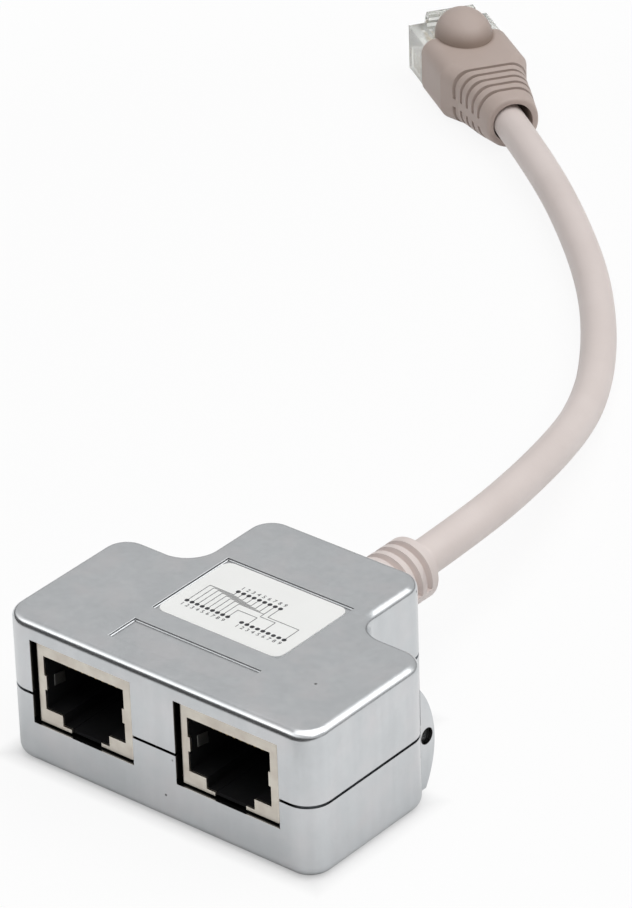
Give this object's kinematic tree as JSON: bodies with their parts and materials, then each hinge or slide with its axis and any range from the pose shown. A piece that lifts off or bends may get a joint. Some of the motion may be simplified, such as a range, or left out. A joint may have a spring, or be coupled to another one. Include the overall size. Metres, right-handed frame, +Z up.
{
  "type": "network socket splitter",
  "caption": "Plated metal splitter box with shielded network sockets side by side in front and a short cord with a booted modular plug behind, for sharing one network line.",
  "frame": {"origin": "bottom centre of the case, on the surface it lies on", "axes": "+X along the front from the left socket to the right, +Y from the front to the neck, +Z up"},
  "size_m": [0.1188, 0.1761, 0.0193],
  "materials": {
    "plated_case": "satin bright plating over a fine cast skin",
    "screw_steel": "plain zinc-coloured steel",
    "label_paper": "white coated paper with thin dark line print",
    "board_laminate": "green solder mask",
    "shield_sheet": "warm nickel-plated sheet",
    "jack_moulding": "black moulding, slightly textured",
    "contact_gold": "gold flash",
    "cord_pvc": "smooth warm grey-beige sheath",
    "boot_pvc": "soft warm grey-beige moulding",
    "wire_insulation": "coloured wire insulation in plain colours",
    "plug_clear": "clear moulded plastic"
  },
  "bodies": {
    "root": {"upper_shell": "plated_case", "lower_shell": "plated_case", "housing_screws": "screw_steel", "label": "label_paper", "circuit_board": "board_laminate", "jack_shield_left": "shield_sheet", "jack_shield_right": "shield_sheet", "jack_body_left": "jack_moulding", "jack_body_right": "jack_moulding", "contact_carrier_left": "jack_moulding", "contact_carrier_right": "jack_moulding", "jack_contacts_left": "contact_gold", "jack_contacts_right": "contact_gold", "strain_relief": "cord_pvc", "cable": "cord_pvc", "board_wires": "wire_insulation", "plug_boot": "boot_pvc", "plug_body": "plug_clear", "plug_contacts": "contact_gold", "plug_wires": "wire_insulation"}
  },
  "joints": []
}
